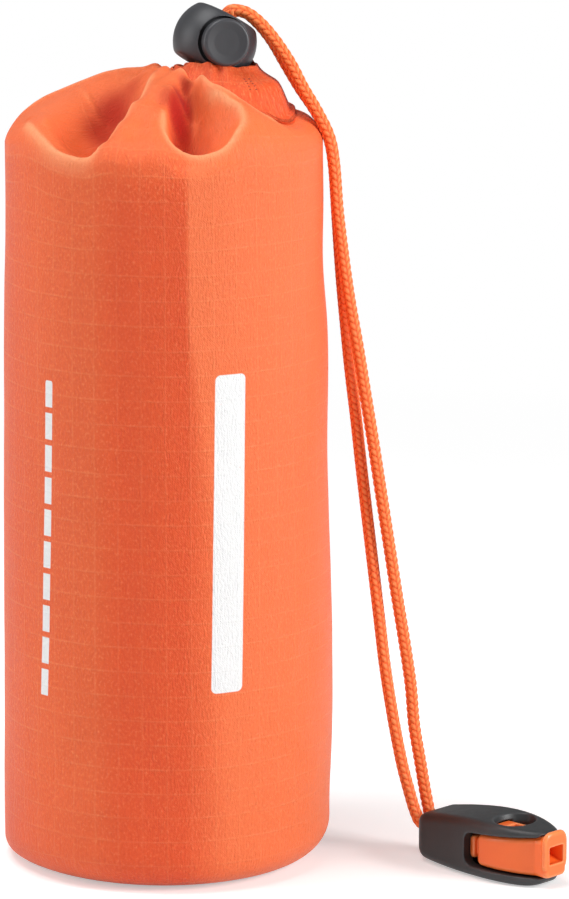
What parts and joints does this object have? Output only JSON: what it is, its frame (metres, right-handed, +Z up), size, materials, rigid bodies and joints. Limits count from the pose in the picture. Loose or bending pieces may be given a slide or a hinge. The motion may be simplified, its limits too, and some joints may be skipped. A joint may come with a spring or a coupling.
{
  "type": "packed survival tent",
  "caption": "Survival tent rolled in a tall round drawstring sack, with a ball cord lock on its gathered neck and a doubled cord that ends in a whistle clip on the ground.",
  "frame": {"origin": "centre of the sack's round base, on the ground", "axes": "+Z up along the sack's axis, -Y towards the sack's front, +X towards the side where the doubled cord hangs"},
  "size_m": [0.1209, 0.0714, 0.187],
  "materials": {
    "ripstop_cloth": "thin coated ripstop cloth, orange, soft sheen",
    "tent_film": "thin metallised film, silver",
    "cord": "braided, orange, matt",
    "lock_plastic": "satin dark grey moulding",
    "clip_plastic": "fine matt black moulding",
    "whistle_plastic": "smooth orange moulding",
    "spring_steel": "drawn wire"
  },
  "bodies": {
    "sack": {"sack_body": "ripstop_cloth", "sack_base": "ripstop_cloth", "drawcord_channel": "ripstop_cloth", "tent_roll": "tent_film", "drawcord_loop": "cord", "drawcord_strand_front": "cord", "drawcord_strand_back": "cord", "whistle_housing": "clip_plastic", "cord_end_knot": "cord"},
    "cord_lock": {"lock_barrel": "lock_plastic", "lock_spring": "spring_steel"},
    "lock_button": {"lock_plunger": "lock_plastic"},
    "whistle": {"whistle_insert": "whistle_plastic"}
  },
  "joints": [
    {"name": "cord_lock_slide", "type": "slide", "parent": "sack", "child": "cord_lock", "axis": [0.4582, 0.2028, 0.8654], "range_m": [0, 0.01], "deforming": ["drawcord_strand_front", "drawcord_strand_back"]},
    {"name": "lock_button_press", "type": "slide", "parent": "cord_lock", "child": "lock_button", "axis": [-0.2529, 0.9631, -0.0918], "range_m": [0, 0.0024], "stiffness_N_per_m": 300, "springref_m": -0.003, "deforming": ["lock_spring"]},
    {"name": "whistle_pull", "type": "slide", "parent": "sack", "child": "whistle", "axis": [0.6947, -0.7193, 0], "range_m": [0, 0.016]}
  ]
}
